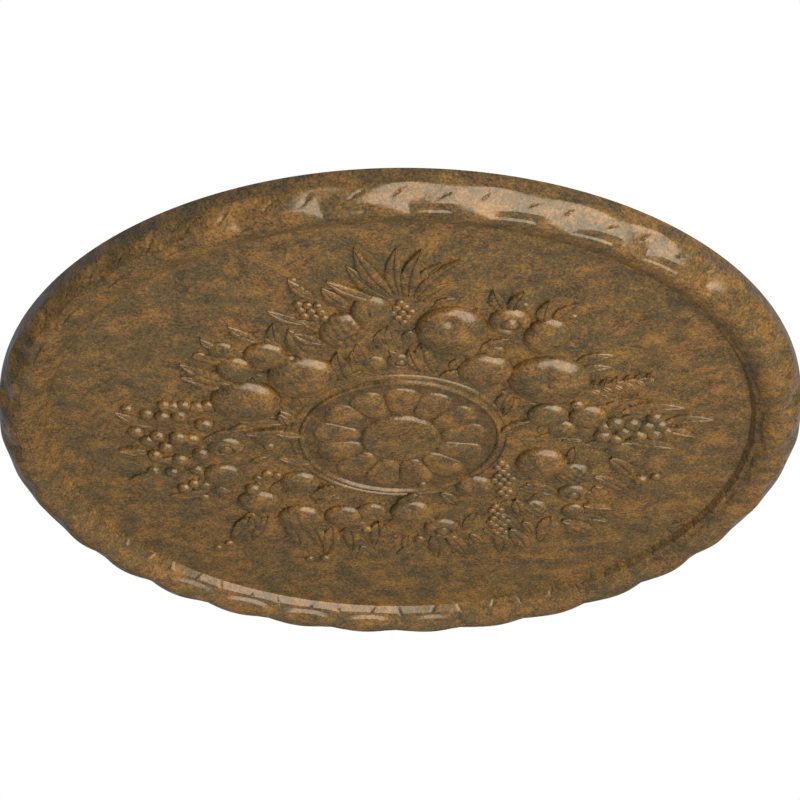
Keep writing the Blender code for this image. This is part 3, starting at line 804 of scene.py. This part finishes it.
@dataclass
class Wreath:
    """The wreath of fruit, berries and leaves about the middle."""

    base: float = 0.0407
    fruit_swell: float = 0.44
    berry_swell: float = 0.80
    berry_grid: tuple[int, int] = (10, 20)
    bunch_row_pitch: float = 1.62
    bunch_column_pitch: float = 1.9
    leaf_thickness: float = 0.0095
    leaf_lift: float = 0.004
    frond_lean: float = 58.0
    frond_taper: float = 0.4
    frond_rib_width: float = 0.35
    leaflet_width: float = 0.5
    filler_count: int = 120
    filler_inner: float = 0.31
    filler_outer: float = 0.56
    filler_length: float = 0.075
    filler_length_range: tuple[float, float] = (0.65, 0.70)
    filler_width: float = 0.034
    filler_width_range: tuple[float, float] = (0.7, 0.6)
    filler_thickness: float = 0.0070
    filler_fan: float = 2.4
    filler_grid: tuple[int, int] = (16, 9)
    filler_seed: int = 11

    def filler_leaves(self) -> list[Leaf]:
        """Scatter low leaves between the fruit, most of them pointing outwards.

        Returns:
            The leaves.
        """
        draws = np.random.default_rng(self.filler_seed).random((self.filler_count, 4))
        least_length, more_length = self.filler_length_range
        least_width, more_width = self.filler_width_range
        leaves = []
        for number, (reach, lean, size, slip) in enumerate(draws):
            angle = (number + slip) / self.filler_count * math.tau
            radius = self.filler_inner + (self.filler_outer - self.filler_inner) * reach
            length = self.filler_length * (least_length + more_length * size)
            right, up = radius * math.cos(angle), radius * math.sin(angle)
            turn = angle + (lean - 0.5) * self.filler_fan
            leaves.append(Leaf(right, up, right + length * math.cos(turn), up + length * math.sin(turn),
                               self.filler_width * (least_width + more_width * size)))
        return leaves

    def bunch_places(self, bunch: tuple[float, ...]) -> list[tuple[float, float]]:
        """Pack a bunch's berries in staggered rows inside an ellipse.

        Args:
            bunch: One row of BUNCHES.

        Returns:
            Right and up of each berry.
        """
        centre_right, centre_up, half_length, half_width, turn, radius = bunch
        angle = math.radians(turn)
        places = []
        row_gap = radius * self.bunch_row_pitch
        column_gap = radius * self.bunch_column_pitch
        rows = int(half_length / row_gap)
        columns = int(half_width / column_gap) + 1
        for row in range(-rows, rows + 1):
            shift = 0.5 * column_gap * (row % 2)
            for column in range(-columns, columns + 1):
                along = row * row_gap
                across = column * radius * self.bunch_column_pitch + shift
                if (along / half_length) ** 2 + (across / half_width) ** 2 > 1.0:
                    continue
                places.append((centre_right + along * math.cos(angle) - across * math.sin(angle),
                               centre_up + along * math.sin(angle) + across * math.cos(angle)))
        return places

    def frond_leaves(self, frond: tuple[float, ...]) -> list[Leaf]:
        """Set leaflets on both sides of a frond's rib.

        Args:
            frond: One row of FRONDS.

        Returns:
            The leaflets, and the blade at the rib's end.
        """
        foot_right, foot_up, tip_right, tip_up, pairs, length = frond
        turn = math.atan2(tip_up - foot_up, tip_right - foot_right)
        leaves = [Leaf(foot_right, foot_up, tip_right, tip_up, self.frond_rib_width * length)]
        slant = math.radians(self.frond_lean)
        for number in range(pairs):
            share = (number + 0.5) / pairs
            right = foot_right + share * (tip_right - foot_right)
            up = foot_up + share * (tip_up - foot_up)
            reach = length * (1 - self.frond_taper * share)
            for lean in (slant, -slant):
                leaves.append(Leaf(right, up, right + reach * math.cos(turn + lean),
                                   up + reach * math.sin(turn + lean), self.leaflet_width * reach))
        return leaves

    def build_fruits(self) -> bpy.types.Object:
        """Make all the larger fruit as one piece.

        Returns:
            The new piece.
        """
        skin = Skin()
        for fruit in FRUITS:
            fruit.add_to(skin, self.base, self.fruit_swell)
        return skin.piece("wreath_fruit", WREATH_SHARP_ANGLE)

    def build_berries(self) -> bpy.types.Object:
        """Make all the berries as one piece.

        Returns:
            The new piece.
        """
        skin = Skin()
        places = list(BERRIES)
        for bunch in BUNCHES:
            places += [(*place, bunch[-1]) for place in self.bunch_places(bunch)]
        for right, up, radius in places:
            Fruit(right, up, radius, radius).add_to(skin, self.base, self.berry_swell, *self.berry_grid)
        return skin.piece("wreath_berries", WREATH_SHARP_ANGLE)

    def build_leaves(self) -> bpy.types.Object:
        """Make all the leaves as one piece.

        Returns:
            The new piece.
        """
        skin = Skin()
        leaves = [Leaf(*row, lift=self.leaf_lift * (number % 2)) for number, row in enumerate(LEAVES)]
        for frond in FRONDS:
            leaves += self.frond_leaves(frond)
        for leaf in leaves:
            leaf.add_to(skin, self.base, self.leaf_thickness)
        for leaf in self.filler_leaves():
            leaf.add_to(skin, self.base, self.filler_thickness, *self.filler_grid)
        return skin.piece("wreath_leaves", WREATH_SHARP_ANGLE)


@dataclass(frozen=True)
class PhotoCamera:
    """The camera, from the outline, the border and the rings as the photograph shows them."""

    lean: float = 56.53
    swing: float = -0.27
    roll: float = -0.06
    distance: float = 5.6
    focal_pixels: float = 2219.0
    axis_right: float = 400.4
    axis_down: float = 424.5
    sensor_width: float = 36.0
    farthest: float = 50.0

    def build(self) -> bpy.types.Object:
        """Set up the camera.

        Returns:
            The camera object.
        """
        lean, swing, roll = (math.radians(turn) for turn in (-self.lean, self.swing, self.roll))
        back = np.array([math.sin(swing) * math.cos(lean), -math.sin(lean), math.cos(swing) * math.cos(lean)])
        right = np.cross([0.0, 1.0, 0.0], back)
        right /= np.linalg.norm(right)
        up = np.cross(back, right)
        turned_right = right * math.cos(roll) + up * math.sin(roll)
        turned_up = up * math.cos(roll) - right * math.sin(roll)
        to_frame = np.array([1.0, -1.0, -1.0])
        axes = np.stack([turned_right, turned_up, back], axis=1) * to_frame[:, None]
        data = bpy.data.cameras.new("photo_camera")
        data.sensor_width = self.sensor_width
        data.lens = self.sensor_width * self.focal_pixels / IMAGE_WIDTH
        data.shift_x = (0.5 * IMAGE_WIDTH - self.axis_right) / IMAGE_WIDTH
        data.shift_y = (self.axis_down - 0.5 * IMAGE_WIDTH) / IMAGE_WIDTH
        data.clip_end = self.farthest
        camera = bpy.data.objects.new("photo_camera", data)
        place = back * self.distance * RADIUS * to_frame
        matrix = np.eye(4)
        matrix[:3, :3] = axes
        matrix[:3, 3] = place
        camera.matrix_world = matrix.T.tolist()
        bpy.context.scene.collection.objects.link(camera)
        bpy.context.scene.camera = camera
        return camera


@dataclass(frozen=True)
class SoftPanel:
    """One soft studio light, aimed at the medallion."""

    name: str
    azimuth: float
    drop: float
    distance: float
    width: float
    height: float
    power: float
    colour: Colour = WHITE

    def build(self) -> bpy.types.Object:
        """Hang the panel; its azimuth turns from the viewer's right towards the top of the face.

        Returns:
            The light object.
        """
        data = bpy.data.lights.new(self.name, "AREA")
        data.shape = "RECTANGLE"
        data.size = self.width
        data.size_y = self.height
        data.energy = self.power
        data.color = self.colour
        azimuth, drop = math.radians(self.azimuth), math.radians(self.drop)
        level = math.cos(drop)
        way = np.array([math.cos(azimuth) * level, -math.sin(azimuth) * level, -math.sin(drop)])
        side = np.cross([0.0, 0.0, 1.0], way)
        side /= np.linalg.norm(side)
        matrix = np.eye(4)
        matrix[:3, :3] = np.stack([side, np.cross(way, side), way], axis=1)
        matrix[:3, 3] = way * self.distance
        light = bpy.data.objects.new(self.name, data)
        light.matrix_world = matrix.T.tolist()
        bpy.context.scene.collection.objects.link(light)
        return light


@dataclass(frozen=True)
class Studio:
    """White surround, pale floor and soft panels."""

    floor_drop: float = 4.0
    floor_size: float = 12.0
    floor_colour: Colour = (0.8, 0.8, 0.79)
    floor_roughness: float = 0.7
    surround_span: tuple[float, float] = (-0.08, 0.12)
    low_surround: Colour = (0.12, 0.12, 0.12)
    high_surround: Colour = (0.26, 0.30, 0.34)
    panels: tuple[SoftPanel, ...] = (
        SoftPanel("key_panel", 53.0, 43.0, 2.6, 3.6, 3.4, 190.0, (1.0, 0.85, 0.68)),
    )

    def build(self) -> None:
        """Set the surround, the floor and the lights."""
        world = bpy.data.worlds.new("white_surround")
        world.use_nodes = True
        nodes, links = world.node_tree.nodes, world.node_tree.links
        background = nodes["Background"]
        background.inputs["Strength"].default_value = 1.0
        split = nodes.new("ShaderNodeSeparateXYZ")
        links.new(nodes.new("ShaderNodeTexCoord").outputs["Generated"], split.inputs["Vector"])
        rise = nodes.new("ShaderNodeMapRange")
        for socket, number in zip(("From Min", "From Max"), self.surround_span):
            rise.inputs[socket].default_value = number
        links.new(split.outputs["Z"], rise.inputs["Value"])
        surround = nodes.new("ShaderNodeMix")
        surround.data_type = "RGBA"
        surround.inputs["A"].default_value = (*self.low_surround, 1.0)
        surround.inputs["B"].default_value = (*self.high_surround, 1.0)
        links.new(rise.outputs["Result"], surround.inputs["Factor"])
        sight = nodes.new("ShaderNodeLightPath")
        mix = nodes.new("ShaderNodeMix")
        mix.data_type = "RGBA"
        mix.inputs["B"].default_value = (*WHITE, 1.0)
        links.new(surround.outputs["Result"], mix.inputs["A"])
        links.new(sight.outputs["Is Camera Ray"], mix.inputs["Factor"])
        links.new(mix.outputs["Result"], background.inputs["Color"])
        bpy.context.scene.world = world
        half = 0.5 * self.floor_size
        mesh = bpy.data.meshes.new("pale_floor")
        corners = [(-half, -half), (half, -half), (half, half), (-half, half)]
        mesh.from_pydata([(x, y, -self.floor_drop) for x, y in corners], [], [(0, 1, 2, 3)])
        floor = bpy.data.objects.new("pale_floor", mesh)
        bpy.context.scene.collection.objects.link(floor)
        paint = bpy.data.materials.new("pale_floor_paint")
        paint.use_nodes = True
        shader = paint.node_tree.nodes["Principled BSDF"]
        shader.inputs["Base Color"].default_value = (*self.floor_colour, 1.0)
        shader.inputs["Roughness"].default_value = self.floor_roughness
        mesh.materials.append(paint)
        for panel in self.panels:
            panel.build()


def main() -> None:
    """Build the medallion's pieces, the camera and the studio."""
    logging.basicConfig(level=logging.INFO, format="%(name)s %(message)s")
    finish = BronzedFinish().material()
    casting = Casting()
    wreath = Wreath()
    pieces = [casting.build(), casting.build_border(), wreath.build_fruits(), wreath.build_berries(),
              wreath.build_leaves()]
    for piece in pieces:
        piece.data.materials.append(finish)
    PhotoCamera().build()
    Studio().build()
    bpy.context.scene.view_settings.view_transform = "Standard"


if __name__ == "__main__":
    main()
